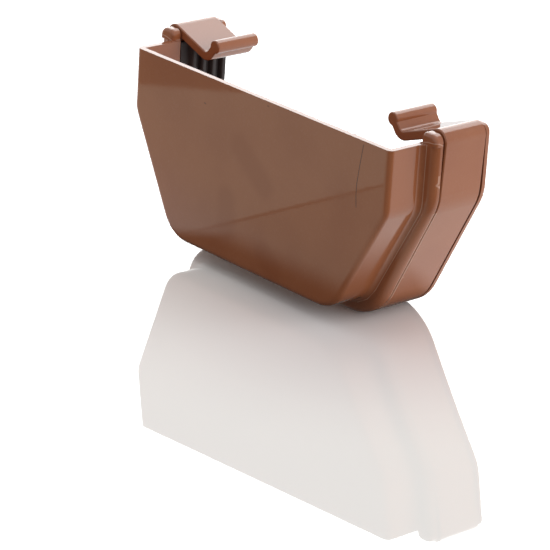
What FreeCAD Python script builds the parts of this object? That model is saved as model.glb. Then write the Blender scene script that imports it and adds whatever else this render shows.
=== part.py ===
"""Gutter stop end: a moulded trapezoidal channel end with a stepped socket, a hooked strap and a seal.

Frame: X across the channel with the symmetry plane at X = 0, Y from the end plate towards the socket's
mouth, Z up from the socket's underside. The origin is the middle of the footprint. Each sub-part is
drawn with Y = 0 on the outer face of the end plate, and its placement moves it to that origin.
"""
import FreeCAD, Part
import math
import os

import Sketcher

# Driving dimensions in millimetres; each is one cell of the sheet
SIZES = {
    # Outer outline of the end plate and neck
    "channel_width": 112.0,
    "channel_depth": 54.6,
    "upright_height": 17.0,
    "floor_flat": 59.0,
    "knee_radius": 8.0,
    "corner_radius": 12.0,
    # End plate and neck
    "plate_thickness": 1.9,
    "plate_edge_radius": 1.8,
    "wall": 1.8,
    "neck_length": 12.9,
    "cove_radius": 1.9,
    # Socket, whose knee is higher and softer than the neck's
    "socket_step": 4.7,
    "socket_upright_height": 14.3,
    "socket_knee_radius": 14.0,
    "socket_wall": 2.0,
    "shoulder_thickness": 2.8,
    "rib_width": 2.9,
    "rib_round": 2.8,
    "mouth_rim_width": 1.6,
    "mouth_rim_round": 0.5,
    # Rounded bars that stand on the ends of the rib and of the mouth rim
    "bar_rise": 3.5,
    "bar_reach": 6.2,
    "bar_elbow_radius": 2.6,
    "bar_nose_radius": 1.8,
    "bar_edge_radius": 1.2,
    # Retaining strap, its hooks and its room in the socket's groove
    "strap_width": 15.9,
    "strap_thickness": 2.8,
    "strap_chamfer": 0.3,
    "strap_spread": 0.6,
    "strap_front_gap": 0.45,
    "strap_rear_gap": 0.5,
    "strap_seat_gap": 0.1,
    "crest_radius": 2.2,
    "crest_rise": 0.75,
    "trough_radius": 2.7,
    "trough_inset": 12.6,
    "trough_rise": 0.85,
    "grip_inset": 16.85,
    "grip_rise": 1.95,
    "grip_radius": 2.05,
    "grip_end_radius": 0.4,
    # Ribbed seal in the socket
    "seal_thickness": 1.4,
    "seal_seat_gap": 0.05,
    "seal_end_gap": 0.4,
    "seal_drop": 0.8,
    "seal_rib_height": 1.8,
    "seal_rib_width": 2.0,
    "seal_rib_pitch": 4.0,
    "seal_rib_margin": 1.5,
}
SEAL_RIBS = 4
# Share of a wall's thickness that the rounding of its edge may take up
ROUND_SHARE = 0.97
# Distance under which two places are the same
SAME = 1e-4


class Length:
    """A length worked out from the sheet: its expression and the value that it has now."""

    def __init__(self, words, value):
        self.words = words
        self.value = value

    def _join(self, sign, other, value):
        words = other.words if isinstance(other, Length) else str(other)
        return Length(f"({self.words} {sign} {words})", value)

    def __add__(self, other):
        return self._join("+", other, self.value + number(other))

    def __sub__(self, other):
        return self._join("-", other, self.value - number(other))

    def __mul__(self, other):
        return self._join("*", other, self.value * number(other))

    def __truediv__(self, other):
        return self._join("/", other, self.value / number(other))

    def at_most(self, other):
        """Return this length, or the other one where that is smaller."""
        return Length(f"min({self.words}; {other.words})", min(self.value, other.value))


def number(length):
    """Return the plain value of a Length or of a number."""
    return length.value if isinstance(length, Length) else float(length)


def make_sheet(doc):
    """Write the driving dimensions into a sheet and return them as Lengths by name."""
    sheet = doc.addObject("Spreadsheet::Sheet", "Sizes")
    for row, (name, value) in enumerate(SIZES.items(), start=1):
        sheet.set(f"A{row}", name)
        sheet.set(f"B{row}", str(value))
        sheet.setAlias(f"B{row}", name)
    doc.recompute()
    return {name: Length(f"Sizes.{name}", value) for name, value in SIZES.items()}


class Channel:
    """Half of a channel's outer outline: a side, a knee bend, a slope, a corner bend and a floor."""

    def __init__(self, rim, half_width, upright_height, knee_radius, corner, corner_radius):
        self.rim = rim
        self.half_width = half_width
        self.knee_x = half_width - knee_radius
        self.knee_z = rim - upright_height
        self.knee_radius = knee_radius
        self.corner_x, self.corner_z = corner
        self.corner_radius = corner_radius


class Outline:
    """Places that the plate, the socket, the strap and the seal share, as Lengths."""

    def __init__(self, size):
        step = size["socket_step"]
        side = size["channel_width"] / 2
        rim = step + size["channel_depth"]
        corner = (size["floor_flat"] / 2, step + size["corner_radius"])
        self.neck = Channel(rim, side, size["upright_height"], size["knee_radius"],
                            corner, size["corner_radius"])
        self.socket = Channel(rim, side + step, size["socket_upright_height"], size["socket_knee_radius"],
                              corner, size["corner_radius"] + step)
        drop = size["seal_drop"]
        self.seal = Channel(rim - drop, side + step, size["socket_upright_height"] - drop,
                            size["socket_knee_radius"], corner, size["corner_radius"] + step)
        self.rim = rim
        self.rib_front = size["neck_length"]
        self.rib_round = size["rib_round"].at_most(size["rib_width"] * ROUND_SHARE)
        self.shoulder_back = self.rib_front + size["shoulder_thickness"]
        self.groove_start = self.rib_front + size["rib_width"]
        self.strap_start = self.groove_start + size["strap_front_gap"]
        self.strap_end = self.strap_start + size["strap_width"]
        self.groove_end = self.strap_end + size["strap_rear_gap"]
        self.mouth = self.groove_end + size["mouth_rim_width"]
        self.groove_depth = size["strap_thickness"] + size["strap_seat_gap"]
        self.groove_x = self.socket.half_width - self.groove_depth
        self.socket_inner_x = self.groove_x - size["socket_wall"]
        self.neck_inner_x = side - size["wall"]


def plane(body, role):
    """Return one of the body's own origin planes."""
    return next(item for item in body.Origin.OriginFeatures if item.Role == role)


def new_sketch(body, name, role, offset=None):
    """Add a sketch on an origin plane; offset is a Length along the plane's normal."""
    sketch = body.newObject("Sketcher::SketchObject", name)
    sketch.AttachmentSupport = [(plane(body, role), "")]
    sketch.MapMode = "FlatFace"
    if offset is not None:
        sketch.setExpression("AttachmentOffset.Base.z", offset.words)
    return sketch


def dimension(sketch, name, kind, *references, length):
    """Add a dimension to a sketch and bind it to the sheet."""
    index = sketch.addConstraint(Sketcher.Constraint(kind, *references, length.value))
    sketch.renameConstraint(index, name)
    sketch.setExpression(f"Constraints.{name}", length.words)


def place(sketch, name, geometry, point, x, y):
    """Fix a point of a sketch at x, y from the sketch's origin."""
    dimension(sketch, f"{name}_x", "DistanceX", -1, 1, geometry, point, length=x)
    dimension(sketch, f"{name}_y", "DistanceY", -1, 1, geometry, point, length=y)


def tangent(sketch, first, first_point, second, second_point):
    """Join two curves end to end, with a common tangent."""
    sketch.addConstraint(Sketcher.Constraint("Tangent", first, first_point, second, second_point))


def vector(x, y):
    """Return a point of a sketch."""
    return FreeCAD.Vector(x, y, 0)


def line(sketch, start, end):
    """Add a line to a sketch and return its number."""
    return sketch.addGeometry(Part.LineSegment(vector(*start), vector(*end)), False)


def arc(sketch, centre, radius, start_angle, end_angle):
    """Add a counter-clockwise arc to a sketch and return its number."""
    circle = Part.Circle(vector(*centre), FreeCAD.Vector(0, 0, 1), radius)
    return sketch.addGeometry(Part.ArcOfCircle(circle, start_angle, end_angle), False)


def on_circle(centre, radius, angle):
    """Return the point of a circle at an angle."""
    return centre[0] + radius * math.cos(angle), centre[1] + radius * math.sin(angle)


def tangent_angle(first, first_radius, second, second_radius):
    """Return the angle, seen from both centres, at which the left outer tangent touches two circles."""
    run = (second[0] - first[0], second[1] - first[1])
    span = math.hypot(*run)
    return math.atan2(run[1], run[0]) + math.acos((first_radius - second_radius) / span)


def half_channel(sketch, channel, inset, name="channel", head=None):
    """Draw half of a channel's outline, inset from its outer face, from the side's top to the floor's middle.

    The side is upright and ends at the rim, or it leans and ends where it touches the head, which is the
    centre and radius of a circle. Returns the numbers of the lines of the side and the floor.
    """
    knee = (channel.knee_x.value, channel.knee_z.value)
    corner = (channel.corner_x.value, channel.corner_z.value)
    knee_radius = channel.knee_radius - inset
    corner_radius = channel.corner_radius - inset
    slope_angle = tangent_angle(knee, knee_radius.value, corner, corner_radius.value)
    if head is None:
        side_angle = 0
        top = (knee[0] + knee_radius.value, channel.rim.value)
    else:
        side_angle = tangent_angle(*head, knee, knee_radius.value)
        top = on_circle(*head, side_angle)
    floor = corner[1] - corner_radius.value

    side = line(sketch, top, on_circle(knee, knee_radius.value, side_angle))
    knee_bend = arc(sketch, knee, knee_radius.value, slope_angle, side_angle)
    slope = line(sketch, on_circle(knee, knee_radius.value, slope_angle),
                 on_circle(corner, corner_radius.value, slope_angle))
    corner_bend = arc(sketch, corner, corner_radius.value, -math.pi / 2, slope_angle)
    bottom = line(sketch, (corner[0], floor), (0, floor))
    tangent(sketch, side, 2, knee_bend, 2)
    tangent(sketch, knee_bend, 1, slope, 1)
    tangent(sketch, slope, 2, corner_bend, 2)
    tangent(sketch, corner_bend, 1, bottom, 1)
    sketch.addConstraint(Sketcher.Constraint("Horizontal", bottom))
    sketch.addConstraint(Sketcher.Constraint("PointOnObject", bottom, 2, -2))
    place(sketch, f"{name}_knee", knee_bend, 3, channel.knee_x, channel.knee_z)
    place(sketch, f"{name}_corner", corner_bend, 3, channel.corner_x, channel.corner_z)
    dimension(sketch, f"{name}_knee_radius", "Radius", knee_bend, length=knee_radius)
    dimension(sketch, f"{name}_corner_radius", "Radius", corner_bend, length=corner_radius)
    if head is None:
        sketch.addConstraint(Sketcher.Constraint("Vertical", side))
        dimension(sketch, f"{name}_rim", "DistanceY", -1, 1, side, 1, length=channel.rim)
    return side, bottom


def join(sketch, *ends):
    """Make pairs of curve ends meet; each pair is (curve, end, curve, end)."""
    for pair in ends:
        sketch.addConstraint(Sketcher.Constraint("Coincident", *pair))


def closed_profile(sketch, points):
    """Draw a closed profile through points, each (x, y) or (x, y, radius, turn) before an arc.

    The turn is 1 where the arc to the next point goes counter-clockwise and -1 where it goes clockwise.
    """
    ends = []
    for index, point in enumerate(points):
        start = (point[0].value, point[1].value)
        following = points[(index + 1) % len(points)]
        end = (following[0].value, following[1].value)
        if len(point) == 2:
            number_here = line(sketch, start, end)
            first, last = 1, 2
        else:
            radius, turn = point[2], point[3]
            chord = (end[0] - start[0], end[1] - start[1])
            length = math.hypot(*chord)
            rise = math.sqrt(max(radius.value**2 - length**2 / 4, 0)) * turn / length
            centre = ((start[0] + end[0]) / 2 - chord[1] * rise, (start[1] + end[1]) / 2 + chord[0] * rise)
            angles = [math.atan2(y - centre[1], x - centre[0]) for x, y in (start, end)]
            number_here = arc(sketch, centre, radius.value, *angles[::turn])
            first, last = (1, 2) if turn > 0 else (2, 1)
            dimension(sketch, f"radius_{index}", "Radius", number_here, length=radius)
        place(sketch, f"point_{index}", number_here, first, point[0], point[1])
        ends.append((number_here, first, last))
    for (here, _, last), (following, first, _) in zip(ends, ends[1:] + ends[:1]):
        sketch.addConstraint(Sketcher.Constraint("Coincident", here, last, following, first))


def pad(body, name, sketch, length):
    """Pad a sketch of an XZ plane towards the socket's mouth."""
    feature = body.newObject("PartDesign::Pad", name)
    feature.Profile = sketch
    feature.Reversed = True
    feature.setExpression("Length", length.words)
    return feature


def sweep(body, name, section, path):
    """Carry a section along a path."""
    feature = body.newObject("PartDesign::AdditivePipe", name)
    feature.Profile = section
    feature.Spine = path
    feature.Mode = "Standard"
    return feature


def mirror_half(doc, body, name):
    """Complete the body by mirroring its half in the plane X = 0."""
    doc.recompute()
    feature = body.newObject("PartDesign::Mirrored", name)
    feature.TransformMode = "Whole shape"
    feature.MirrorPlane = (plane(body, "YZ_Plane"), [""])
    body.Tip = feature
    return feature


def round_edges(doc, body, name, feature, radius, test):
    """Round the edges of a feature that pass a test."""
    doc.recompute()
    edges = enumerate(feature.Shape.Edges, start=1)
    fillet = body.newObject("PartDesign::Fillet", name)
    fillet.Base = (feature, [f"Edge{index}" for index, edge in edges if test(edge)])
    fillet.setExpression("Radius", radius.words)


def new_body(doc, label, outline):
    """Add a body whose label names its file, placed so that the footprint's middle is the origin."""
    body = doc.addObject("PartDesign::Body", label)
    body.Label = label
    body.Placement = FreeCAD.Placement()
    body.setExpression("Placement.Base.y", (outline.mouth / -2).words)
    return body


def sweep_round_channel(body, channel, name, points):
    """Sweep a section, drawn across the side wall at the rim, along half of a channel's outline."""
    path = new_sketch(body, f"{name}_path", "XZ_Plane")
    half_channel(path, channel, Length("0", 0))
    section = new_sketch(body, f"{name}_section", "XY_Plane", channel.rim)
    closed_profile(section, points)
    return sweep(body, name, section, path)


def top_bar(doc, body, size, outline, name, start, width, open_face, edge_radius):
    """A bar on the top end of the rib or of the mouth rim, turned inwards and rounded round its open face."""
    sketch = new_sketch(body, f"{name}_outline", "XZ_Plane", start * -1)
    outer = outline.socket.half_width
    top = outline.rim + size["bar_rise"]
    elbow = size["bar_elbow_radius"]
    nose = size["bar_nose_radius"]
    inner = outer - size["bar_reach"]
    closed_profile(sketch, [
        (inner, outline.rim),
        (outer, outline.rim),
        (outer, top - elbow, elbow, 1),
        (outer - elbow, top),
        (inner + nose, top, nose, 1),
        (inner, top - nose),
    ])
    bar = pad(body, name, sketch, width)

    def round_the_open_face(edge):
        box = edge.BoundBox
        away = abs(box.YMin - open_face.value) + abs(box.YMax - open_face.value)
        return away < SAME and box.ZMax > outline.rim.value + SAME

    round_edges(doc, body, f"{name}_edge", bar, edge_radius, round_the_open_face)


def end_plate(doc, body, size, outline):
    """Half of the flat end plate, rounded round its outer edge."""
    sketch = new_sketch(body, "plate_outline", "XZ_Plane")
    side, bottom = half_channel(sketch, outline.neck, Length("0", 0))
    floor = size["socket_step"].value
    rim = outline.rim.value
    middle = line(sketch, (0, floor), (0, rim))
    top = line(sketch, (0, rim), (outline.neck.half_width.value, rim))
    join(sketch, (bottom, 2, middle, 1), (middle, 2, top, 1), (top, 2, side, 1))
    sketch.addConstraint(Sketcher.Constraint("Vertical", middle))
    sketch.addConstraint(Sketcher.Constraint("Horizontal", top))
    plate = pad(body, "plate", sketch, size["plate_thickness"])

    def on_outer_edge(edge):
        """Edges round the outer face, apart from the rim and the symmetry plane."""
        box = edge.BoundBox
        return box.YMax < SAME and box.ZMin < rim - SAME and box.XMax > SAME

    radius = size["plate_edge_radius"].at_most(size["plate_thickness"] * ROUND_SHARE)
    round_edges(doc, body, "plate_edge", plate, radius, on_outer_edge)


def shoulder(body, size, outline):
    """Half of the wall that joins the neck to the wider socket and stops the channel's end."""
    sketch = new_sketch(body, "shoulder_outline", "XZ_Plane", outline.rib_front * -1)
    outer_side, outer_floor = half_channel(sketch, outline.socket, outline.groove_depth, "outer")
    inner_side, inner_floor = half_channel(sketch, outline.neck, size["wall"] / 2, "inner")
    rim = outline.rim.value
    floors = (outline.groove_depth.value, (size["socket_step"] + size["wall"] / 2).value)
    top = line(sketch, (outline.groove_x.value, rim), ((outline.neck_inner_x + size["wall"] / 2).value, rim))
    middle = line(sketch, (0, floors[0]), (0, floors[1]))
    join(sketch, (outer_side, 1, top, 1), (top, 2, inner_side, 1))
    join(sketch, (outer_floor, 2, middle, 1), (middle, 2, inner_floor, 2))
    pad(body, "shoulder", sketch, size["shoulder_thickness"])


def neck_section(size, outline):
    """Points of the neck's section, with the cove that turns out to the rib at its foot."""
    side = outline.neck.half_width
    cove = size["cove_radius"].at_most(size["socket_step"] - outline.rib_round)
    foot = side + cove
    return [
        (outline.neck_inner_x, size["plate_thickness"]),
        (side, size["plate_thickness"]),
        (side, outline.rib_front - cove, cove, -1),
        (foot, outline.rib_front),
        (foot, outline.shoulder_back),
        (outline.neck_inner_x, outline.shoulder_back),
    ]


def socket_section(size, outline):
    """Points of the socket's section through the rib, the strap's groove and the mouth rim."""
    face = outline.rib_front
    outer = outline.socket.half_width
    rib_round = outline.rib_round
    rim_round = size["mouth_rim_round"]
    return [
        (outline.socket_inner_x, face),
        (outer - rib_round, face, rib_round, 1),
        (outer, face + rib_round),
        (outer, outline.groove_start),
        (outline.groove_x, outline.groove_start),
        (outline.groove_x, outline.groove_end),
        (outer, outline.groove_end),
        (outer, outline.mouth - rim_round, rim_round, 1),
        (outer - rim_round, outline.mouth),
        (outline.socket_inner_x, outline.mouth),
    ]


def make_stop_end_body(doc, size, outline):
    """The one-piece moulding: end plate, neck, shoulder, socket and the four bars on its top ends."""
    body = new_body(doc, "stop_end_body", outline)
    top_bar(doc, body, size, outline, "rib_bar", outline.rib_front, size["rib_width"],
            outline.rib_front, size["bar_edge_radius"])
    top_bar(doc, body, size, outline, "rim_bar", outline.groove_end, size["mouth_rim_width"],
            outline.mouth, size["mouth_rim_round"])
    end_plate(doc, body, size, outline)
    sweep_round_channel(body, outline.neck, "neck", neck_section(size, outline))
    shoulder(body, size, outline)
    sweep_round_channel(body, outline.socket, "socket", socket_section(size, outline))
    mirror_half(doc, body, "both_sides")
    return body


def strap_path(body, size, outline):
    """Middle line of half of the strap: floor, slope, side, crest, trough and lip up to the grip.

    The side leans out a little from the knee, as the strap springs open above its groove.
    """
    path = new_sketch(body, "strap_path", "XZ_Plane")
    half_thickness = size["strap_thickness"] / 2
    crest_x = outline.socket.half_width - half_thickness + size["strap_spread"] - size["crest_radius"]
    crest_z = outline.rim + size["crest_rise"]
    trough_x = outline.neck.half_width - size["trough_inset"]
    trough_z = outline.rim + size["trough_rise"]
    grip_x = outline.neck.half_width - size["grip_inset"]
    grip_z = outline.rim + size["grip_rise"]
    crest = (crest_x.value, crest_z.value)
    trough = (trough_x.value, trough_z.value)
    grip = (grip_x.value, grip_z.value)
    crest_radius = size["crest_radius"].value
    trough_radius = size["trough_radius"].value
    side, _ = half_channel(path, outline.socket, half_thickness, "socket", (crest, crest_radius))

    # The plate is the inner tangent of the crest and the trough, and the lip a tangent of the trough
    fall = math.asin((crest_radius + trough_radius) / math.dist(crest, trough))
    fall += math.atan2(crest[1] - trough[1], crest[0] - trough[0])
    lip_fall = math.asin(trough_radius / math.dist(grip, trough))
    lip_fall += math.atan2(grip[1] - trough[1], trough[0] - grip[0])
    knee = (outline.socket.knee_x.value, outline.socket.knee_z.value)
    knee_radius = (outline.socket.knee_radius - half_thickness).value
    crest_start = tangent_angle(crest, crest_radius, knee, knee_radius)
    crest_end = math.pi / 2 + fall
    plate_foot = fall - math.pi / 2
    lip_foot = -math.pi / 2 - lip_fall

    crest_bend = arc(path, crest, crest_radius, crest_start, crest_end)
    plate_start = on_circle(crest, crest_radius, crest_end)
    plate = line(path, plate_start, on_circle(trough, trough_radius, plate_foot))
    trough_bend = arc(path, trough, trough_radius, lip_foot, plate_foot)
    lip = line(path, on_circle(trough, trough_radius, lip_foot), grip)
    tangent(path, side, 1, crest_bend, 1)
    tangent(path, crest_bend, 2, plate, 1)
    tangent(path, plate, 2, trough_bend, 2)
    tangent(path, trough_bend, 1, lip, 1)
    place(path, "crest", crest_bend, 3, crest_x, crest_z)
    dimension(path, "crest_radius", "Radius", crest_bend, length=size["crest_radius"])
    dimension(path, "trough_radius", "Radius", trough_bend, length=size["trough_radius"])
    place(path, "trough", trough_bend, 3, trough_x, trough_z)
    place(path, "grip", lip, 2, grip_x, grip_z)
    return path, grip_x, grip_z


def strap_section(body, size, outline):
    """Section of the strap at the middle of the floor, with bevelled edges."""
    section = new_sketch(body, "strap_section", "YZ_Plane")
    bevel = size["strap_chamfer"]
    near = outline.strap_start
    far = outline.strap_end
    low = Length("0", 0)
    high = size["strap_thickness"]
    closed_profile(section, [
        (near + bevel, low),
        (far - bevel, low),
        (far, low + bevel),
        (far, high - bevel),
        (far - bevel, high),
        (near + bevel, high),
        (near, high - bevel),
        (near, low + bevel),
    ])
    return section


def make_retaining_strap(doc, size, outline):
    """The spring strap that lies in the socket's groove and hooks over both sides."""
    body = new_body(doc, "retaining_strap", outline)
    path, grip_x, grip_z = strap_path(body, size, outline)
    circle = new_sketch(body, "grip_circle", "XZ_Plane", outline.strap_start * -1)
    centre = vector(grip_x.value, grip_z.value)
    ring = circle.addGeometry(Part.Circle(centre, FreeCAD.Vector(0, 0, 1), size["grip_radius"].value), False)
    place(circle, "grip", ring, 3, grip_x, grip_z)
    dimension(circle, "grip_radius", "Radius", ring, length=size["grip_radius"])
    grip = pad(body, "grip", circle, size["strap_width"])

    ends = (outline.strap_start.value, outline.strap_end.value)

    def at_an_end(edge):
        return any(abs(edge.BoundBox.YMin - end) + abs(edge.BoundBox.YMax - end) < SAME for end in ends)

    round_edges(doc, body, "grip_ends", grip, size["grip_end_radius"], at_an_end)
    sweep(body, "strap", strap_section(body, size, outline), path)
    mirror_half(doc, body, "both_sides_of_strap")
    return body


def seal_section(size, outline):
    """Points of the seal's section: a flat strip against the socket with ribs towards the channel."""
    back = outline.socket_inner_x - size["seal_seat_gap"]
    front = back - size["seal_thickness"]
    tip = front - size["seal_rib_height"]
    near = outline.shoulder_back + size["seal_end_gap"]
    far = outline.mouth - size["seal_end_gap"]
    half_foot = size["seal_rib_width"] / 2
    half_tip = size["seal_rib_width"] / 4
    points = [(back, near), (back, far), (front, far)]
    for index in range(SEAL_RIBS):
        centre = far - size["seal_rib_margin"] - size["seal_rib_pitch"] * index
        points += [
            (front, centre + half_foot),
            (tip, centre + half_tip),
            (tip, centre - half_tip),
            (front, centre - half_foot),
        ]
    return points + [(front, near)]


def make_rubber_seal(doc, size, outline):
    """The black ribbed strip that lines the socket."""
    body = new_body(doc, "rubber_seal", outline)
    sweep_round_channel(body, outline.seal, "seal", seal_section(size, outline))
    mirror_half(doc, body, "both_sides_of_seal")
    return body


def check(doc, bodies):
    """Stop if any object failed or any sub-part isn't one valid solid."""
    for item in doc.Objects:
        if "Invalid" in item.State or "Error" in item.State:
            raise RuntimeError(f"{item.Label} failed: {item.State}")
    for body in bodies:
        shape = body.Shape
        if shape.isNull() or not shape.isValid() or len(shape.Solids) != 1:
            raise RuntimeError(f"{body.Label} is not one valid solid")


def main():
    """Build the document and write one STEP file for each sub-part."""
    doc = FreeCAD.newDocument("gutter_stop_end")
    size = make_sheet(doc)
    outline = Outline(size)
    bodies = [
        make_stop_end_body(doc, size, outline),
        make_retaining_strap(doc, size, outline),
        make_rubber_seal(doc, size, outline),
    ]
    doc.recompute()
    check(doc, bodies)
    os.makedirs("parts", exist_ok=True)
    for body in bodies:
        body.Shape.exportStep(os.path.join("parts", f"{body.Label}.step"))
        box = body.Shape.optimalBoundingBox()
        print(
            f"{body.Label}: volume {body.Shape.Volume:.0f} mm3,"
            f" X {box.XMin:.2f} to {box.XMax:.2f}, Y {box.YMin:.2f} to {box.YMax:.2f},"
            f" Z {box.ZMin:.2f} to {box.ZMax:.2f}"
        )


main()
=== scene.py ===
"""Looks of a gutter stop end: its finishes, its ribbed seal, a pale studio and the camera."""
import logging
from dataclasses import dataclass
from enum import Enum
from functools import reduce
from math import cos, pi, radians, sin
from typing import Any

import bpy
import numpy as np
from mathutils import Matrix, Vector


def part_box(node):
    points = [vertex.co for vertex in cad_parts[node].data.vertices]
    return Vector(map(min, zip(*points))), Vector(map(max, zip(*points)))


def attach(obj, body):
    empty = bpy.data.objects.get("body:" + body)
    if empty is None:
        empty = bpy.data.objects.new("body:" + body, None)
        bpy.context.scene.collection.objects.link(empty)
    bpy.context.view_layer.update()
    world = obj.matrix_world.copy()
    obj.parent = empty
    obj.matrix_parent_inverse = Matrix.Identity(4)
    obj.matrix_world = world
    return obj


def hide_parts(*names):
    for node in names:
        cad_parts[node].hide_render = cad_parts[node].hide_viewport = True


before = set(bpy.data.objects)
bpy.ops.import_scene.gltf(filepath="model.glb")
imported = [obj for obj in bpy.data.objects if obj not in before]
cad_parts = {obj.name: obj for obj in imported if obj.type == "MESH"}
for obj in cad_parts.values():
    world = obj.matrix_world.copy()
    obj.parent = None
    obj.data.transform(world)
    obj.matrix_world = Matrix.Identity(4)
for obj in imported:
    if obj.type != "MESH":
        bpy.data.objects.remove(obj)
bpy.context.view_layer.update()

# Side of the square picture in pixels
PICTURE = 550
# Height of the bars above the rim of the end plate, in metres
BAR_RISE = 0.0035
MILLIMETRE = 0.001
# Sockets of a Mix node for colours: the share, the two colours and the result
MIX_SHARE, MIX_FIRST, MIX_SECOND, MIX_RESULT = 0, 6, 7, 2

log = logging.getLogger("gutter_stop_end")

Colour = tuple[float, float, float]
Point = tuple[float, float, float]
# A start and an end on one scale
Span = tuple[float, float]
# A place across the channel and up, in millimetres
Spot = tuple[float, float]


def linear(red: int, green: int, blue: int) -> Colour:
    """Turn a colour of 0 to 255 per channel into linear light.

    A displayed share s is s / 12.92 of the light where it is dark, and elsewhere (s + 0.055) / 1.055
    to the power of 2.4.

    Args:
        red: Red as displayed.
        green: Green as displayed.
        blue: Blue as displayed.

    Returns:
        The colour that renders as those three numbers under plain light.
    """
    shown = np.array((red, green, blue)) / 255
    light = np.where(shown <= 0.04045, shown / 12.92, ((shown + 0.055) / 1.055) ** 2.4)
    return tuple(float(value) for value in light)


class Wire:
    """A socket of a shader whose operators add the nodes that do the sum."""

    def __init__(self, shader: "Shader", socket: bpy.types.NodeSocket | None) -> None:
        """Keep the socket and the shader that it belongs to."""
        self.shader = shader
        self.socket = socket

    def other(self, output: str) -> "Wire":
        """Another output of the same node."""
        return Wire(self.shader, self.socket.node.outputs[output])

    def _sum(self, operation: str, *values: Any) -> "Wire":
        """Add one Math node on one or two values."""
        return self.shader.node("ShaderNodeMath", {"operation": operation}, dict(enumerate(values)))

    def __add__(self, other: Any) -> "Wire":
        """This value plus another."""
        return self._sum("ADD", self, other)

    def __radd__(self, other: Any) -> "Wire":
        """Another value plus this."""
        return self._sum("ADD", other, self)

    def __sub__(self, other: Any) -> "Wire":
        """This value minus another."""
        return self._sum("SUBTRACT", self, other)

    def __rsub__(self, other: Any) -> "Wire":
        """Another value minus this."""
        return self._sum("SUBTRACT", other, self)

    def __mul__(self, other: Any) -> "Wire":
        """This value times another."""
        return self._sum("MULTIPLY", self, other)

    def __rmul__(self, other: Any) -> "Wire":
        """Another value times this."""
        return self._sum("MULTIPLY", other, self)

    def size(self) -> "Wire":
        """This value without its sign."""
        return self._sum("ABSOLUTE", self)

    def at_least(self, other: Any) -> "Wire":
        """The larger of this value and another."""
        return self._sum("MAXIMUM", self, other)

    def toward(self, other: Any, share: "Wire") -> "Wire":
        """This value moved by a share of the way to another."""
        return self + (other - self) * share

    def ramp(self, start: float, end: float) -> "Wire":
        """A smooth step that is 0 where this value is start and 1 where it is end."""
        return self.shader.node("ShaderNodeMapRange", {"interpolation_type": "SMOOTHSTEP"},
                                {"Value": self, "From Min": start, "From Max": end})


class Shader:
    """The node tree of one material or of the world."""

    def __init__(self, tree: bpy.types.NodeTree) -> None:
        """Empty the tree, to be built anew."""
        self.tree = tree
        tree.nodes.clear()

    def node(self, kind: str, settings: dict[str, Any] | None = None,
             inputs: dict[Any, Any] | None = None, output: Any = 0) -> Wire:
        """Add a node, with its settings first and then the values or links of its sockets.

        Args:
            kind: The node's type.
            settings: Properties of the node, such as a Math node's operation.
            inputs: Values or wires by socket name or number. A colour is three numbers.
            output: Name or number of the socket to return.

        Returns:
            The wanted output.
        """
        made = self.tree.nodes.new(kind)
        for name, value in (settings or {}).items():
            setattr(made, name, value)
        for name, value in (inputs or {}).items():
            socket = made.inputs[name]
            if isinstance(value, Wire):
                self.tree.links.new(value.socket, socket)
            elif socket.type == "RGBA":
                socket.default_value = (*value, 1)
            else:
                socket.default_value = value
        return Wire(self, made.outputs[output] if len(made.outputs) else None)

    def place(self) -> Wire:
        """The point on the object, in metres."""
        return self.node("ShaderNodeTexCoord", output="Object")

    def parts(self, point: Wire) -> tuple[Wire, Wire, Wire]:
        """The parts of a point along X, Y and Z."""
        across = self.node("ShaderNodeSeparateXYZ", None, {0: point})
        return across, across.other("Y"), across.other("Z")

    def whole(self, across: Any, along: Any, up: Any) -> Wire:
        """The vector that has the given parts along X, Y and Z."""
        return self.node("ShaderNodeCombineXYZ", None, {"X": across, "Y": along, "Z": up})

    def vector(self, operation: str, *vectors: Any, output: Any = 0) -> Wire:
        """One Vector Math node on one or two vectors."""
        inputs = dict(enumerate(vectors))
        return self.node("ShaderNodeVectorMath", {"operation": operation}, inputs, output)

    def dot(self, first: Any, second: Any) -> Wire:
        """How far one vector reaches along another, times that one's length."""
        return self.vector("DOT_PRODUCT", first, second, output="Value")

    def distance(self, first: Any, second: Any) -> Wire:
        """How far two points are apart."""
        return self.vector("DISTANCE", first, second, output="Value")

    def mix(self, share: Wire, first: Wire | Colour, second: Wire | Colour) -> Wire:
        """A colour between two colours."""
        return self.node("ShaderNodeMix", {"data_type": "RGBA"},
                         {MIX_SHARE: share, MIX_FIRST: first, MIX_SECOND: second}, MIX_RESULT)

    def bump(self, height: Wire, depth: float, normal: Wire | None = None) -> Wire:
        """Roughen a normal by a height.

        Args:
            height: The height, from 0 to 1.
            depth: What a height of 1 comes to, in metres.
            normal: The normal to roughen, if it isn't the surface's own.

        Returns:
            The rough normal.
        """
        inputs = {"Height": height, "Distance": depth, "Strength": 1.0}
        if normal is not None:
            inputs["Normal"] = normal
        return self.node("ShaderNodeBump", None, inputs)

    def blend(self, share: Wire, first: Wire, second: Wire) -> Wire:
        """A surface between two surfaces."""
        return self.node("ShaderNodeMixShader", None, {0: share, 1: first, 2: second})

    def end(self, surface: Wire) -> None:
        """End a material's tree in its finished surface."""
        self.node("ShaderNodeOutputMaterial", None, {"Surface": surface})

    def end_plain(self, colour: Wire, roughness: Wire, normal: Wire, refraction: float) -> None:
        """End a material's tree in one plain surface.

        Args:
            colour: Its base colour.
            roughness: How dull it is, from 0 to 1.
            normal: Its normal.
            refraction: Its index of refraction, which sets how much it mirrors.
        """
        self.end(self.node("ShaderNodeBsdfPrincipled", None, {
            "Base Color": colour, "Roughness": roughness, "Normal": normal, "IOR": refraction,
        }))


def new_material(name: str) -> tuple[bpy.types.Material, Shader]:
    """Start a material.

    Args:
        name: Its name.

    Returns:
        The material and its empty shader.
    """
    made = bpy.data.materials.new(name)
    made.use_nodes = True
    return made, Shader(made.node_tree)


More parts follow.
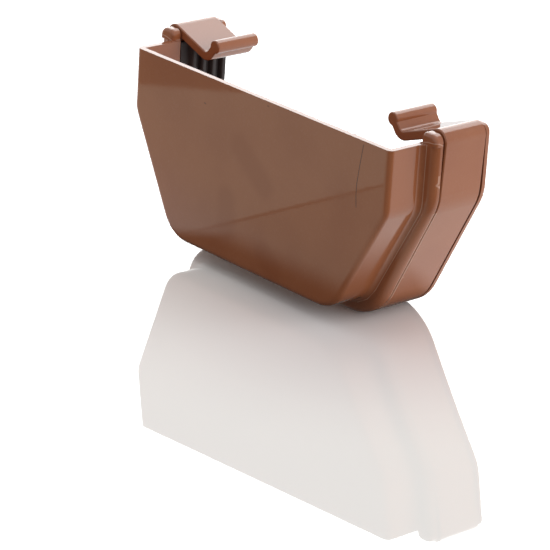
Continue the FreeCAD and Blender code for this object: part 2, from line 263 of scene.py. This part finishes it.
@dataclass(frozen=True)
class Blotches:
    """Soft noise from 0 to 1, with blotches about size metres wide.

    The pace is how fast it changes along X, Y and Z: below 1 the blotches are drawn out along that axis.
    """

    size: float
    detail: float = 2.0
    roughness: float = 0.5
    pace: Point = (1, 1, 1)

    def wire(self, shader: Shader, point: Wire) -> Wire:
        """Add the noise to a shader.

        Args:
            shader: The shader to add to.
            point: The point on the object.

        Returns:
            The noise at the point.
        """
        return shader.node("ShaderNodeTexNoise", None, {
            "Vector": shader.vector("MULTIPLY", point, self.pace), "Scale": 1 / self.size,
            "Detail": self.detail, "Roughness": self.roughness,
        })


class MarkKind(Enum):
    """What a mark on the plastic is."""

    SCRATCH = "a thin dark cut or pit"
    SCUFF = "a rubbed pale patch"
    # Pale lines where the mould parted, and pale lines down the slope that are a painted highlight
    MOULD_LINE_AND_PAINTED_HIGHLIGHT = "a fine pale line where the mould parted"
    SMUDGE = "a faint greasy finger mark"


@dataclass(frozen=True)
class MarkLook:
    """What a kind of mark does: its colour, how far that covers the plastic, and how much it dulls it."""

    colour: Colour
    cover: float
    dulling: float


# Brown plastic where it is rubbed or thin, also the colour of the painted highlight lines down the slope
PALE_PLASTIC = linear(196, 152, 130)
MARK_LOOKS = {
    MarkKind.SCRATCH: MarkLook(linear(70, 36, 24), cover=0.85, dulling=0.25),
    MarkKind.SCUFF: MarkLook(PALE_PLASTIC, cover=0.7, dulling=0.25),
    MarkKind.MOULD_LINE_AND_PAINTED_HIGHLIGHT: MarkLook(PALE_PLASTIC, cover=0.55, dulling=0.25),
    MarkKind.SMUDGE: MarkLook(linear(144, 83, 52), cover=0.65, dulling=0.05),
}


@dataclass(frozen=True)
class Mark:
    """A mark along a run of points, in millimetres in the row frame.

    The core is the share of its width where it covers most. A mark of both sides is given on the right.
    """

    kind: MarkKind
    points: tuple[Point, ...]
    width: float
    both_sides: bool = False
    core: float = 0.3

    @classmethod
    def level(cls, kind: MarkKind, along: float, spots: tuple[Spot, ...], width: float,
              both_sides: bool = False) -> "Mark":
        """Draw a mark that keeps to one place along Y.

        Args:
            kind: The kind of mark.
            along: Its place along Y.
            spots: Its places across and up.
            width: Its width.
            both_sides: Whether the left side has it too.

        Returns:
            The mark.
        """
        return cls(kind, tuple((across, along, up) for across, up in spots), width, both_sides)

    @staticmethod
    def distance(shader: Shader, point: Wire, start: Point, end: Point) -> Wire:
        """Measure how far a point is from a straight run.

        The nearest place on the run is start + t (end - start), with t from 0 to 1.

        Args:
            shader: The shader to add to.
            point: The point on the object.
            start: Where the run starts.
            end: Where the run ends.

        Returns:
            The distance in metres.
        """
        first = Vector(start) * MILLIMETRE
        run = Vector(end) * MILLIMETRE - first
        offset = shader.vector("SUBTRACT", point, first)
        reach = shader.dot(offset, run / run.length_squared)
        share = shader.node("ShaderNodeClamp", None, {"Value": reach})
        nearest = shader.node("ShaderNodeVectorMath", {"operation": "SCALE"}, {0: run, "Scale": share})
        return shader.distance(offset, nearest)

    def mask(self, shader: Shader, point: Wire) -> Wire:
        """Cover the marked place: 1 on the run of points, 0 beyond the width.

        The left side is measured as the mirror image of the right.

        Args:
            shader: The shader to add to.
            point: The point on the object.

        Returns:
            The mask.
        """
        if self.both_sides:
            across, along, up = shader.parts(point)
            point = shader.whole(across.size(), along, up)
        width = self.width * MILLIMETRE
        masks = [self.distance(shader, point, start, end).ramp(width, self.core * width)
                 for start, end in zip(self.points, self.points[1:])]
        return reduce(Wire.at_least, masks)


@dataclass(frozen=True)
class MouldedPlastic:
    """Brown moulded plastic: glossy, faintly clouded, with an orange-peel skin and softened edges.

    Sizes are in metres. A span gives the values of a pattern between which its effect comes in.
    """

    name: str
    marks: tuple[Mark, ...]
    colour: Colour = linear(156, 95, 63)
    cloud_colour: Colour = linear(150, 89, 58)
    clouds: Blotches = Blotches(0.022, detail=3.0)
    cloud_span: Span = (0.35, 0.7)
    grain: Blotches = Blotches(0.0007)
    grain_span: Span = (0.5, 0.8)
    grain_share: float = 0.04
    rub: Blotches = Blotches(0.003, detail=4.0, roughness=0.7, pace=(1, 1, 0.2))
    rub_span: Span = (0.3, 0.7)
    rub_share: float = 0.35
    scuff_span: Span = (0.35, 0.55)
    edge_radius: float = 0.00025
    edge_samples: int = 6
    edge_span: Span = (0.01, 0.2)
    roughness: float = 0.03
    cloud_dulling: float = 0.04
    cloud_dulling_span: Span = (0.3, 0.75)
    edge_dulling: float = 0.12
    peel: Blotches = Blotches(0.0016, detail=1.5)
    peel_depth: float = 0.000004
    refraction: float = 1.5

    def material(self) -> bpy.types.Material:
        """Build the material: the clouded brown, its pale grain and rubbed edges, and then its marks.

        An edge is where the normal softened by the edge radius turns away from the true one.

        Returns:
            The finished material.
        """
        made, shader = new_material(self.name)
        point = shader.place()
        clouds, grain, rubbed, peel = (blotches.wire(shader, point)
                                       for blotches in (self.clouds, self.grain, self.rub, self.peel))
        soft = shader.node("ShaderNodeBevel", {"samples": self.edge_samples},
                           {"Radius": self.edge_radius})
        true = shader.node("ShaderNodeNewGeometry", output="Normal")
        edge = (1 - shader.dot(soft, true)).ramp(*self.edge_span)

        colour = shader.mix(clouds.ramp(*self.cloud_span), self.colour, self.cloud_colour)
        colour = shader.mix(grain.ramp(*self.grain_span) * self.grain_share, colour, PALE_PLASTIC)
        colour = shader.mix(edge * rubbed.ramp(*self.rub_span) * self.rub_share, colour, PALE_PLASTIC)
        roughness = self.roughness + self.cloud_dulling * clouds.ramp(*self.cloud_dulling_span)
        roughness = roughness + self.edge_dulling * edge
        for mark in self.marks:
            look = MARK_LOOKS[mark.kind]
            mask = mark.mask(shader, point)
            if mark.kind is MarkKind.SCUFF:
                mask = mask * rubbed.ramp(*self.scuff_span)
            colour = shader.mix(mask * look.cover, colour, look.colour)
            roughness = roughness + look.dulling * mask
        shader.end_plain(colour, roughness, shader.bump(peel, self.peel_depth, soft), self.refraction)
        return made


@dataclass(frozen=True)
class SealRubber:
    """Black rubber with a dull sheen, a fine skin and a little pale dust. Sizes are in metres."""

    name: str = "seal_rubber"
    colour: Colour = linear(62, 56, 56)
    dust_colour: Colour = linear(96, 90, 90)
    dust: Blotches = Blotches(0.004, detail=4.0, roughness=0.65)
    dust_span: Span = (0.5, 0.85)
    dust_share: float = 0.45
    roughness: float = 0.72
    dust_dulling: float = 0.2
    dust_dulling_span: Span = (0.4, 0.8)
    skin: Blotches = Blotches(0.0004)
    skin_depth: float = 0.00002
    refraction: float = 1.5

    def material(self) -> bpy.types.Material:
        """Build the material.

        Returns:
            The finished material.
        """
        made, shader = new_material(self.name)
        point = shader.place()
        dust, skin = (blotches.wire(shader, point) for blotches in (self.dust, self.skin))
        colour = shader.mix(dust.ramp(*self.dust_span) * self.dust_share, self.colour, self.dust_colour)
        roughness = self.roughness + self.dust_dulling * dust.ramp(*self.dust_dulling_span)
        shader.end_plain(colour, roughness, shader.bump(skin, self.skin_depth), self.refraction)
        return made


@dataclass(frozen=True)
class MouldedPiece:
    """A piece of brown plastic that keeps the frame's shape."""

    node: str
    finish: str
    marks: tuple[Mark, ...]

    def dress(self) -> None:
        """Give the node its plastic, with its marks."""
        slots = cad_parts[self.node].data.materials
        slots.clear()
        slots.append(MouldedPlastic(self.finish, self.marks).material())
        log.info("dressed %s", self.node)


# Places along Y, in millimetres: the front of the end plate, the step beside the cove, the rear edge of
# the rib on the slope, and the strap's edge beside it
PLATE_FRONT = -17.12
STEP_LINE = -4.36
RIB_REAR = -1.4
STRAP_EDGE = -0.55
# The outer face of rib and strap down the slope and into the corner below it
SLOPE: tuple[Spot, ...] = ((59.22, 38.73), (44.43, 9.22), (40.23, 3.91))


@dataclass(frozen=True)
class StopEndBody(MouldedPiece):
    """The moulding: end plate, neck, shoulder and socket, as the frame gives it."""

    node: str = "stop_end_body"
    finish: str = "moulded_plastic"
    marks: tuple[Mark, ...] = (
        # On the end plate: three finger marks, a long scratch and two specks
        Mark.level(MarkKind.SMUDGE, PLATE_FRONT, ((-11.6, 24.5), (-10.9, 16.5)), width=6.0),
        Mark.level(MarkKind.SMUDGE, PLATE_FRONT, ((-7.0, 42.5), (4.5, 33.5)), width=6.0),
        Mark.level(MarkKind.SMUDGE, PLATE_FRONT, ((6.0, 13.0), (10.5, 9.0)), width=5.5),
        Mark.level(MarkKind.SCRATCH, PLATE_FRONT,
                   ((45.03, 58.1), (44.03, 51.3), (43.41, 46.3), (43.4, 42.7), (43.8, 39.2)), width=0.22),
        Mark.level(MarkKind.SCRATCH, PLATE_FRONT, ((4.2, 57.95), (4.5, 57.85)), width=0.25),
        Mark.level(MarkKind.SCRATCH, PLATE_FRONT, ((-23.6, 50.95), (-23.1, 50.85)), width=0.28),
        # A rub on the rib, beside the strap
        Mark(MarkKind.SCUFF, ((60.65, -1.94, 50.5), (60.65, -1.94, 48.6), (60.49, -2.49, 47.95),
                              (60.7, -1.33, 47.2)), width=0.45),
        # Where the mould parted: down the step and under the bar
        # A painted highlight: the pale line on the rib's rear edge down the slope
        Mark.level(MarkKind.MOULD_LINE_AND_PAINTED_HIGHLIGHT, STEP_LINE,
                   ((57.2, 59.3), (57.2, 42.3), (57.06, 40.7), (56.65, 39.15), (56.08, 37.9),
                    (41.08, 10.38), (37.98, 6.58), (34.01, 4.3)), width=0.16, both_sides=True),
        Mark(MarkKind.MOULD_LINE_AND_PAINTED_HIGHLIGHT, ((54.66, -4.23, 59.5), (57.4, -4.23, 60.2), (59.5, -4.23, 60.4),
                                   (60.35, -3.87, 60.5), (60.7, -3.0, 60.4), (60.7, -1.33, 59.6)),
             width=0.25, both_sides=True),
        Mark.level(MarkKind.MOULD_LINE_AND_PAINTED_HIGHLIGHT, RIB_REAR, SLOPE, width=0.3, both_sides=True),
    )


@dataclass(frozen=True)
class RetainingStrap(MouldedPiece):
    """The sprung strap with its hooks and grips, as the frame gives it."""

    node: str = "retaining_strap"
    finish: str = "strap_plastic"
    marks: tuple[Mark, ...] = (
        # The pale edge along the rib, which is a painted highlight, and a nick in it
        Mark.level(MarkKind.MOULD_LINE_AND_PAINTED_HIGHLIGHT, STRAP_EDGE, SLOPE, width=0.5, both_sides=True),
        Mark(MarkKind.SCUFF, ((47.5, -0.8, 15.4), (47.6, 0.1, 15.6)), width=0.35),
    )


@dataclass(frozen=True)
class RubberSeal:
    """The black strip that lines the socket, with rounded ribs towards the gutter.

    Sizes are in millimetres, and depths count inwards from the socket's outer face.
    """

    name: str = "ribbed_seal"
    half_width: float = 60.7
    top: float = 58.5
    knee_z: float = 45.0
    knee_radius: float = 14.0
    corner: Spot = (29.5, 16.7)
    corner_radius: float = 16.7
    back_depth: float = 4.95
    thickness: float = 1.4
    rib_height: float = 1.8
    rib_width: float = 2.0
    rib_power: int = 4
    rib_places: tuple[float, ...] = (15.225, 11.225, 7.225, 3.225)
    near: float = -1.025
    far: float = 16.725
    bend_steps: int = 16
    face_steps: int = 180
    sharp_degrees: float = 40.0

    def outline(self) -> tuple[np.ndarray, np.ndarray]:
        """Follow the socket from the top of one side round to the top of the other.

        A bend's place is its centre plus its radius times the outward normal, and the normal of each
        straight run is that of the bends at its ends.

        Returns:
            Places (n, 2) on the socket's outer face, as X and Z, and the outward normals (n, 2) there.
        """
        knee = np.array((self.half_width - self.knee_radius, self.knee_z))
        corner = np.array(self.corner)
        run = corner - knee
        span = np.hypot(*run)
        slope = np.arctan2(run[1], run[0]) + np.arccos((self.knee_radius - self.corner_radius) / span)
        knee_turn = np.linspace(0, slope, self.bend_steps)
        corner_turn = np.linspace(slope, -pi / 2, self.bend_steps)
        turns = np.concatenate(((0,), knee_turn, corner_turn))
        normals = np.stack((np.cos(turns), np.sin(turns)), axis=1)
        places = np.concatenate((
            ((self.half_width, self.top),),
            knee + self.knee_radius * normals[1:1 + self.bend_steps],
            corner + self.corner_radius * normals[1 + self.bend_steps:],
        ))
        mirrored = np.array((-1, 1))
        return (np.concatenate((places, places[::-1] * mirrored)),
                np.concatenate((normals, normals[::-1] * mirrored)))

    def section(self) -> tuple[np.ndarray, np.ndarray]:
        """Draw the seal's section as depths and places along Y.

        The inner face is the strip's thickness plus, round each rib's place, the rib's height times the
        square root of 1 - s to the rib's power, where s runs from -1 to 1 over the rib's width.

        Returns:
            Depths (m,) and places along Y (m,), once round the section.
        """
        along = np.linspace(self.far, self.near, self.face_steps)
        share = 2 * (along[:, None] - np.array(self.rib_places)) / self.rib_width
        rise = np.sqrt(np.clip(1 - share ** self.rib_power, 0, None)).max(axis=1) * self.rib_height
        front = self.back_depth + self.thickness + rise
        depths = np.concatenate(((self.back_depth, self.back_depth), front))
        return depths, np.concatenate(((self.near, self.far), along))

    def points(self) -> np.ndarray:
        """Carry the section along the outline.

        Each point is the outline's place less the outward normal times the depth.

        Returns:
            Points (n, m, 3), one ring of m points for each place on the outline.
        """
        places, normals = self.outline()
        depths, along = self.section()
        flat = places[:, None, :] - normals[:, None, :] * depths[None, :, None]
        points = np.empty((len(places), len(depths), 3))
        points[..., 0] = flat[..., 0]
        points[..., 1] = along
        points[..., 2] = flat[..., 1]
        return points

    @staticmethod
    def faces(rings: int, sides: int) -> list[list[int]]:
        """Join each ring of points to the next by four-sided faces, and close both ends.

        Args:
            rings: How many rings there are.
            sides: How many points a ring has.

        Returns:
            The faces, as lists of point numbers.
        """
        ring = np.arange(rings - 1)[:, None] * sides
        here = np.arange(sides)[None, :]
        following = (here + 1) % sides
        quads = np.stack((ring + here, ring + sides + here, ring + sides + following, ring + following),
                         axis=-1)
        first_end = list(range(sides))
        last_end = list(range(rings * sides - 1, (rings - 1) * sides - 1, -1))
        return [*quads.reshape(-1, 4).tolist(), first_end, last_end]

    def build(self) -> None:
        """Build and dress the seal, in place of the plain solid."""
        points = self.points()
        mesh = bpy.data.meshes.new(self.name)
        mesh.from_pydata((points.reshape(-1, 3) * MILLIMETRE).tolist(), [], self.faces(*points.shape[:2]))
        mesh.update()
        mesh.set_sharp_from_angle(angle=radians(self.sharp_degrees))
        mesh.materials.append(SealRubber().material())
        seal = bpy.data.objects.new(self.name, mesh)
        bpy.context.scene.collection.objects.link(seal)
        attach(seal, "root")
        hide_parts("rubber_seal")
        log.info("built %s with %d points", self.name, len(mesh.vertices))


@dataclass(frozen=True)
class BoardPlace:
    """A point of the board: its place across and away, and its shares behind the part and in the light."""

    across: Wire
    away: Wire
    behind: Wire
    lit: Wire


@dataclass(frozen=True)
class WhiteBoard:
    """The pale glossy board that the part stands on.

    The camera sees it matt white with a faint mirror, and with a painted shadow that darkens the matt
    round the part's foot. Towards the part it glows in fields, which stand for the boards and the dark
    room round it.
    Places are in metres, across along X and away along Y.
    A span says where a field starts and where it is full, a slant turns its border away from the axes,
    and a light of 1 is white.
    """

    name: str = "floor"
    finish: str = "white_board"
    half_size: float = 4.0
    # The matt white, and a painted shadow that darkens it round the part's foot
    shade: Colour = (0.995, 1.0, 0.978)
    painted_shadow_colour: Colour = (0.80, 0.77, 0.77)
    painted_shadow_middle: Point = (0.045, -0.005, 0.0)
    painted_shadow_reach: Span = (0.005, 0.09)
    # The mirror, whose normal leans over and sags from side to side
    gloss: float = 0.28
    blur: float = 0.015
    lean: Point = (-0.045, -0.021, 0.998)
    sag: float = -0.163
    # What the part mirrors of the board before it: a near and a far field, the seam between them, a dim
    # band beyond and a dark field at the right
    near_glow: float = 0.64
    far_glow: float = 0.84
    seam: float = -0.0454
    seam_blur: float = 0.0011
    seam_fade: Span = (0.00176, 0.00066)
    seam_shade: float = 0.5
    band_glow: float = 0.3
    band_span: Span = (-0.277, -0.285)
    dark_glow: float = 0.08
    dark_span: Span = (0.05, 0.10)
    dark_slant: float = 0.2
    front_tint: Colour = (1.07, 1.12, 0.96)
    # What the board throws back on the part from the left and from the right
    left_cast: float = 0.48
    right_cast: float = 0.12
    right_span: Span = (0.045, 0.12)
    right_slant: float = 0.3
    # The board behind the part, mirrored and thrown back
    behind_glow: float = 1.2
    behind_cast: float = 1.15
    behind_span: Span = (-0.05, 0.0)
    behind_slant: float = 0.3
    # The part's foot, round which the board gets little light
    foot_half_width: float = 0.037
    foot_middle: float = -0.006
    foot_half_depth: float = 0.023
    foot_reach: Span = (0.004, 0.021)
    foot_glow: float = 0.08

    def locate(self, shader: Shader) -> BoardPlace:
        """Find where a point of the board lies.

        It gets more light the farther it is from the part's foot, beside it and endways added up.

        Args:
            shader: The shader to add to.

        Returns:
            The place.
        """
        across, away, _ = shader.parts(shader.place())
        behind = (away - self.behind_slant * across).ramp(*self.behind_span)
        beside = (across.size() - self.foot_half_width).at_least(0)
        endways = ((away - self.foot_middle).size() - self.foot_half_depth).at_least(0)
        lit = self.foot_glow + (1 - self.foot_glow) * (beside + endways).ramp(*self.foot_reach)
        return BoardPlace(across, away, behind, lit)

    def glow(self, shader: Shader, place: BoardPlace) -> Wire:
        """Work out the light that the part mirrors.

        Args:
            shader: The shader to add to.
            place: The point of the board.

        Returns:
            The colour of the light.
        """
        past_seam = place.across.ramp(self.seam + self.seam_blur, self.seam - self.seam_blur)
        on_seam = (place.across - self.seam).size().ramp(*self.seam_fade)
        on_band = (place.across + place.away).ramp(*self.band_span)
        at_right = (place.across - self.dark_slant * place.away).ramp(*self.dark_span)
        glow = self.near_glow + (self.far_glow - self.near_glow) * past_seam
        glow = glow * (1 - self.seam_shade * on_seam)
        glow = glow.toward(self.band_glow, on_band).toward(self.dark_glow, at_right)
        tinted = shader.vector("MULTIPLY", glow, self.front_tint)
        light = shader.mix(place.behind, tinted, (self.behind_glow,) * 3)
        return shader.vector("MULTIPLY", light, place.lit)

    def cast(self, place: BoardPlace) -> Wire:
        """Work out the light that the board throws back on the part.

        Args:
            place: The point of the board.

        Returns:
            The brightness.
        """
        at_right = (place.across + self.right_slant * place.away).ramp(*self.right_span)
        cast = self.left_cast + (self.right_cast - self.left_cast) * at_right
        return cast.toward(self.behind_cast, place.behind) * place.lit

    def face(self, shader: Shader, place: BoardPlace) -> Wire:
        """Work out the board as the camera sees it.

        Args:
            shader: The shader to add to.
            place: The point of the board.

        Returns:
            The surface.
        """
        # Painted shadow: the matt is darker the nearer it is to the middle of the part's foot
        apart = shader.distance(shader.place(), self.painted_shadow_middle)
        near, far = (shader.node("ShaderNodeBsdfDiffuse", None, {"Color": shade})
                     for shade in (self.painted_shadow_colour, self.shade))
        matt = shader.blend(apart.ramp(*self.painted_shadow_reach), near, far)
        lean = shader.whole(self.lean[0], self.lean[1] + self.sag * place.across, self.lean[2])
        mirror = shader.node("ShaderNodeBsdfGlossy", None, {
            "Color": (self.gloss,) * 3, "Roughness": self.blur,
            "Normal": shader.vector("NORMALIZE", lean),
        })
        return shader.node("ShaderNodeAddShader", None, {0: matt, 1: mirror})

    def material(self) -> bpy.types.Material:
        """Build the material: the board's face to the camera, and its glow to the part.

        Returns:
            The finished material.
        """
        made, shader = new_material(self.finish)
        place = self.locate(shader)
        seen = shader.node("ShaderNodeLightPath", output="Is Camera Ray")
        light = shader.mix(seen.other("Is Glossy Ray"), self.cast(place), self.glow(shader, place))
        shine = shader.node("ShaderNodeEmission", None, {"Color": light})
        shader.end(shader.blend(seen, shine, self.face(shader, place)))
        return made

    def build(self) -> None:
        """Lay the board, level with the part's underside."""
        corners = np.array(((-1, -1, 0), (1, -1, 0), (1, 1, 0), (-1, 1, 0))) * self.half_size
        mesh = bpy.data.meshes.new(self.name)
        mesh.from_pydata(corners.tolist(), [], [(0, 1, 2, 3)])
        mesh.materials.append(self.material())
        floor = bpy.data.objects.new(self.name, mesh)
        bpy.context.scene.collection.objects.link(floor)
        log.info("laid %s", self.name)


@dataclass(frozen=True)
class SoftBox:
    """A soft square light that faces the part; its brightness is 1 where it would show as plain white."""

    name: str
    place: Point
    size: float
    brightness: float
    sheen_only: bool = False

    def build(self) -> None:
        """Create the light, turned to the part."""
        data = bpy.data.lights.new(self.name, "AREA")
        data.shape = "SQUARE"
        data.size = self.size
        data.energy = self.brightness * pi * self.size ** 2
        light = bpy.data.objects.new(self.name, data)
        light.location = self.place
        light.visible_diffuse = not self.sheen_only
        light.rotation_euler = (-Vector(self.place)).to_track_quat("-Z", "Y").to_euler()
        bpy.context.scene.collection.objects.link(light)
        log.info("lit %s", self.name)


@dataclass(frozen=True)
class Studio:
    """A white board and two soft lights, in a dim room with a bright side and a fill.

    A side is a direction, and its spread says how near to it the light starts and where it is full.
    """

    dim_room: float = 0.08
    bright_room: float = 2.45
    bright_side: Point = (0.90, 0.42, 0.10)
    bright_spread: Span = (0.5, 0.95)
    fill_room: float = 0.72
    fill_side: Point = (-0.50, -0.80, 0.34)
    fill_spread: Span = (0.3, 0.95)
    lights: tuple[SoftBox, ...] = (
        SoftBox("back_softbox", (-1.36, 1.52, 1.45), size=3.3, brightness=2.9, sheen_only=True),
        SoftBox("top_softbox", (0.15, 0.35, 2.40), size=3.0, brightness=0.63),
    )

    def build_room(self) -> None:
        """Set the room's light, which is plain white where it is seen or mirrored."""
        world = bpy.data.worlds.new("pale_room")
        bpy.context.scene.world = world
        world.use_nodes = True
        shader = Shader(world.node_tree)
        direction = shader.node("ShaderNodeTexCoord", output="Generated")
        bright = shader.dot(direction, self.bright_side).ramp(*self.bright_spread)
        fill = shader.dot(direction, self.fill_side).ramp(*self.fill_spread)
        light = self.dim_room + self.bright_room * bright + self.fill_room * fill
        seen = shader.node("ShaderNodeLightPath", output="Is Camera Ray")
        shown = seen.at_least(seen.other("Is Glossy Ray")).at_least(seen.other("Is Transmission Ray"))
        room = shader.node("ShaderNodeBackground", None, {"Color": light.toward(1, shown)})
        shader.node("ShaderNodeOutputWorld", None, {"Surface": room})

    def build(self) -> None:
        """Create the board, the room and the lights."""
        WhiteBoard().build()
        self.build_room()
        for light in self.lights:
            light.build()


@dataclass(frozen=True)
class PhotoCamera:
    """A camera that looks at the top edge of the end plate, turned a little about its own axis.

    Angles are in degrees, places in metres, the sensor in millimetres and the focal length in pixels.
    """

    name: str = "photo_camera"
    azimuth: float = 47.49
    elevation: float = 21.08
    roll: float = 3.63
    distance: float = 0.9451
    across: float = 0.0080
    above: float = -0.0509
    focal_pixels: float = 3269.6
    sensor: float = 36.0

    def build(self) -> None:
        """Create the camera and make it the scene's own."""
        turn, lift, lean = radians(self.azimuth), radians(self.elevation), radians(self.roll)
        back = Vector((sin(turn) * cos(lift), -cos(turn) * cos(lift), sin(lift)))
        right = Vector((cos(turn), sin(turn), 0))
        up = back.cross(right)
        low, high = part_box("stop_end_body")
        target = Vector((0, low.y, high.z - BAR_RISE))
        eye = target + back * self.distance + right * self.across + up * self.above
        side = right * cos(lean) + up * sin(lean)
        top = up * cos(lean) - right * sin(lean)
        data = bpy.data.cameras.new(self.name)
        data.sensor_width = self.sensor
        data.lens = self.focal_pixels / PICTURE * self.sensor
        camera = bpy.data.objects.new(self.name, data)
        camera.matrix_world = Matrix.Translation(eye) @ Matrix((side, top, back)).transposed().to_4x4()
        bpy.context.scene.collection.objects.link(camera)
        bpy.context.scene.camera = camera
        log.info("placed %s", self.name)


def main() -> None:
    """Dress the nodes and build the seal, then build the studio and the camera."""
    logging.basicConfig(level=logging.INFO, format="%(name)s: %(message)s")
    bpy.context.scene.view_settings.view_transform = "Standard"
    StopEndBody().dress()
    RetainingStrap().dress()
    RubberSeal().build()
    Studio().build()
    PhotoCamera().build()


if __name__ == "__main__":
    main()
